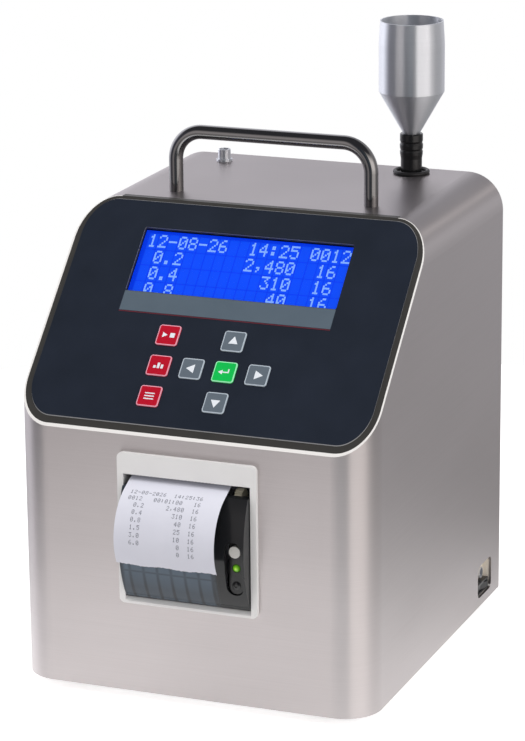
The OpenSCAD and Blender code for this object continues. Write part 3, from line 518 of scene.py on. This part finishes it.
first_cell, cell_pitch, cell_size = (-0.0598, 0.1282), (0.006, 0.0103), (0.0055, 0.0098)
display_rows = ("12-08-26  14:25 0012", " 0.2      2,480  16 ",
                " 0.4        310  16 ", " 0.8         40  16 ")
bm = bmesh.new()
glass_front = -0.005
for row, text in enumerate(display_rows):
    for column in range(len(text)):
        x, s = first_cell[0] + cell_pitch[0] * column, first_cell[1] - cell_pitch[1] * row
        plate(bm, x, x + cell_size[0], s - cell_size[1], s, glass_front, glass_front + 0.00002)
draw_text(bm, display_rows, -0.0595, 0.1279, cell_pitch, (0.00098, 0.00118), 1,
          glass_front + 0.00001, glass_front + 0.00004)
bmesh.ops.transform(bm, matrix=slope, verts=bm.verts)
characters = finish_mesh(bm, "display_characters", [cell_blue, dot_light])
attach(characters, "casing")

# Boards: glass-fibre boards under green lacquer, for the display, the keys and the main circuit.
# They stand on hexagonal brass posts. The nuts under the top and the laser's finned barrel are brass too.
board = moulded_finish("board_green", colour(28, 104, 66), colour(18, 84, 52), 0.35, 0.2)
dress(board, "lcd_board", "keypad_board", "main_board")
brass = brushed_finish("turned_brass", colour(206, 172, 102), colour(178, 144, 80), 0.3, 0.1, 0.0)
dress(brass, "standoffs", "top_nuts", "laser_module")

# The printer's frame: a white moulding set into the front, with its rim on the outside of the casing.
# Behind it is the bucket, a black moulding with a curved floor, which holds the paper roll.
printer_white = moulded_finish("printer_white", colour(243, 241, 240), colour(236, 234, 233), 0.45, 0.15)
dress(printer_white, "printer_frame")
bucket_black = moulded_finish("bucket_black", colour(44, 46, 49), colour(32, 34, 37), 0.5, 0.3)
dress(bucket_black, "printer_bucket")

# The printer's door: a smoked moulding, ribbed inside, that swings on two pins in the frame's walls.
# It carries the rubber platen with its moulded gear. The print head behind it has an anodised carrier.
smoke, tree, shader = new_finish("smoked_door", colour(84, 99, 114), 0.24)
shader.inputs["Specular IOR Level"].default_value = 0.25
skin = tree.nodes.new("ShaderNodeGroup")
skin.node_tree = moulded_skin
coordinates = tree.nodes.new("ShaderNodeTexCoord")
place = tree.nodes.new("ShaderNodeSeparateXYZ")
tree.links.new(coordinates.outputs["Object"], place.inputs[0])
rib_pitch, first_rib, cross_rib_z = 0.008, -0.030, 0.078
# Fifty pitches are added to keep the count of ribs positive
from_rib = add_math(tree, "ADD", place.outputs["X"], 50 * rib_pitch - first_rib)
spacing = add_math(tree, "DIVIDE", from_rib, rib_pitch)
near_rib = add_math(tree, "PINGPONG", spacing, 0.5)
rib = add_range(tree, near_rib, 0.05, 0.16, 1, 0)
foot = add_range(tree, place.outputs["Z"], 0.068, 0.079, 0.6, 0)
from_cross_rib = add_math(tree, "SUBTRACT", place.outputs["Z"], cross_rib_z)
cross_rib = add_range(tree, add_math(tree, "ABSOLUTE", from_cross_rib, 0), 0.0003, 0.0009, 0.5, 0)
left_edge = add_range(tree, place.outputs["X"], -0.0345, -0.0325, 0.8, 0)
dark = add_math(tree, "MAXIMUM", add_math(tree, "MAXIMUM", cross_rib, left_edge),
                add_math(tree, "ADD", add_math(tree, "MULTIPLY", rib, 0.45), foot))
body = add_mix(tree, skin.outputs["Cloud"], colour(74, 88, 102), colour(90, 106, 122))
ribbed = add_mix(tree, dark, body, colour(36, 42, 50))
beside_block = add_range(tree, place.outputs["X"], 0.0165, 0.0206, 0, 1)
tree.links.new(add_mix(tree, beside_block, ribbed, colour(27, 28, 30)), shader.inputs["Base Color"])
shader.inputs["Coat Weight"].default_value = 0.25
add_bump(tree, shader, skin.outputs["Pores"], 0.03, 0.0001)
dress(smoke, "printer_door")
platen_rubber = moulded_finish("platen_rubber", colour(62, 62, 64), colour(50, 50, 52), 0.6, 0.2)
dress(platen_rubber, "platen_roller")
ivory = moulded_finish("gear_ivory", colour(226, 220, 200), colour(214, 206, 184), 0.4, 0.1)
dress(ivory, "platen_gear")
anodised = brushed_finish("anodised_head", colour(120, 121, 124), colour(100, 101, 104), 0.4, 0.1, 0.0)
dress(anodised, "print_head")

# The thermal paper: a roll in the bucket, and a printed strip that comes up from the nip between platen
# and head, goes over the slot and hangs down in front of the door to its torn edge.
paper_skin = moulded_finish("ticket_paper", colour(226, 226, 236), colour(216, 216, 227), 0.6, 0.1)
print_ink = moulded_finish("thermal_print", colour(96, 98, 112), colour(120, 122, 134), 0.6, 0.05)
dress(paper_skin, "paper_roll")

nip_y, nip_z, straight = -0.09265, 0.120, 0.0015
exit_r, exit_angle = 0.007, math.radians(114.5)
curl_y, curl_z, curl_r = -0.1006, 0.0991, 0.027


# Bends the flat strip: straight up from the nip, round the slot's edge, then down in one wide curl
def strip_point(x, along, off):
    if along < straight:
        return Vector((x, nip_y + off, nip_z + along))
    turn = (along - straight) / exit_r
    if turn < exit_angle:
        return Vector((x, nip_y - exit_r + (exit_r + off) * math.cos(turn),
                       nip_z + straight + (exit_r + off) * math.sin(turn)))
    turn = exit_angle + (along - straight - exit_r * exit_angle) / curl_r
    return Vector((x, curl_y + (curl_r + off) * math.cos(turn), curl_z + (curl_r + off) * math.sin(turn)))


paper_left, paper_right, paper_length, paper_half = -0.0328, 0.0247, 0.0607, 0.00011
steps, columns = 56, 92
ragged = random.Random(7)
bm = bmesh.new()
sheet = bmesh.ops.create_grid(bm, x_segments=columns, y_segments=steps, size=0.5)["verts"]
for index, vert in enumerate(sheet):
    step, column = divmod(index, columns + 1)
    x = paper_left + (paper_right - paper_left) * column / columns
    along = paper_length * step / steps
    torn = ragged.uniform(0, 0.0006)
    if step == steps:
        along += 0.0004 * math.sin(x * 260) - torn
    vert.co = (x, along, paper_half)
underside = bmesh.ops.extrude_face_region(bm, geom=bm.faces[:])["geom"]
bmesh.ops.translate(bm, vec=(0, 0, -2 * paper_half),
                    verts=[corner for corner in underside if isinstance(corner, bmesh.types.BMVert)])
for vert in bm.verts:
    vert.co = strip_point(*vert.co)
bm.normal_update()
bmesh.ops.recalc_face_normals(bm, faces=bm.faces)
ticket = finish_mesh(bm, "printed_ticket", [paper_skin])
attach(ticket, "door")
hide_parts("paper_strip")

ticket_rows = ("12-08-2026  14:25:36", "0012   00:01:00   16", "  0.2      2,480  16", "  0.4        310  16",
               "  0.8         40  16", "  1.5         25  16", "  3.0         10  16", "  6.0          0  16",
               "               0  16")
bm = bmesh.new()
draw_text(bm, ticket_rows, paper_left + 0.0045, -0.0160, (0.0021, 0.0041), (0.0003, 0.00036), 0,
          paper_half - 0.00002, paper_half + 0.00003)
for vert in bm.verts:
    vert.co = strip_point(vert.co.x, -vert.co.y, vert.co.z)
ticket_print = finish_mesh(bm, "ticket_print", [print_ink])
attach(ticket_print, "door")

# The control block beside the door: an upright black moulding with a gloss, held behind the front.
# It has the white feed button, a green lamp under that and one black screw.
control_black = moulded_finish("control_black", colour(26, 26, 28), colour(18, 18, 20), 0.25, 0.05)
dress(control_black, "control_block", "control_screw")
button_white = moulded_finish("button_white", colour(238, 235, 229), colour(228, 225, 219), 0.35, 0.1)
dress(button_white, "feed_button")
lamp_green, tree, shader = new_finish("lamp_green", colour(24, 44, 8), 0.12)
coordinates = tree.nodes.new("ShaderNodeTexCoord")
lamp_x, lamp_z = 0.0303, 0.0853
from_centre = tree.nodes.new("ShaderNodeMapping")
from_centre.inputs["Location"].default_value = (-lamp_x, 0, -lamp_z)
from_centre.inputs["Scale"].default_value = (1, 0, 1)
tree.links.new(coordinates.outputs["Object"], from_centre.inputs["Vector"])
reach = tree.nodes.new("ShaderNodeVectorMath")
reach.operation = "LENGTH"
tree.links.new(from_centre.outputs[0], reach.inputs[0])
glow = add_ramp(tree, add_range(tree, reach.outputs["Value"], 0, 0.0024, 0, 1),
                [(0.1, colour(185, 228, 84)), (0.45, colour(112, 184, 36)), (0.95, colour(22, 48, 8))])
tree.links.new(glow, shader.inputs["Emission Color"])
shader.inputs["Emission Strength"].default_value = 0.8
dress(lamp_green, "status_led")

# The sampling probe: a thin-walled stainless funnel turned from one bar, with its ridged stem in the hose.
# The humidity socket and the charger's jack are turned from the same bright steel.
turned = brushed_finish("turned_steel", colour(240, 242, 247), colour(226, 229, 235), 0.34, 0.08, 1.0,
                        lying_from=0.9, lying_to=0.98)
turned.node_tree.nodes["Principled BSDF"].inputs["Metallic"].default_value = 0.85
dress(turned, "isokinetic_probe", "rh_socket", "charger_jack")

# The side opening: a shallow folded pan behind the casing's side, painted a pale beige.
# The charger's jack and a black moulded rocker switch are fitted through its floor.
pan_paint = moulded_finish("pan_beige", colour(244, 236, 224), colour(236, 228, 216), 0.5, 0.2)
dress(pan_paint, "recess_pan")
switch_black = moulded_finish("switch_black", colour(30, 30, 31), colour(22, 22, 23), 0.3, 0.1)
dress(switch_black, "power_switch_body", "power_rocker")

# Inside: the black optical block on its stand, the cast blower, the exhaust filter in a white case and
# the battery in blue film. The printer's motor has a grey case like the blower's.
optic_black = moulded_finish("optic_black", colour(48, 48, 50), colour(38, 38, 40), 0.4, 0.1)
dress(optic_black, "optical_block")
cast_grey = moulded_finish("cast_grey", colour(150, 152, 154), colour(134, 136, 138), 0.5, 0.4)
dress(cast_grey, "blower", "printer_motor")
filter_white = moulded_finish("filter_white", colour(230, 230, 228), colour(220, 220, 217), 0.5, 0.2)
dress(filter_white, "exhaust_filter")
battery_blue = moulded_finish("battery_blue", colour(40, 84, 160), colour(30, 68, 138), 0.35, 0.1)
dress(battery_blue, "battery_pack")
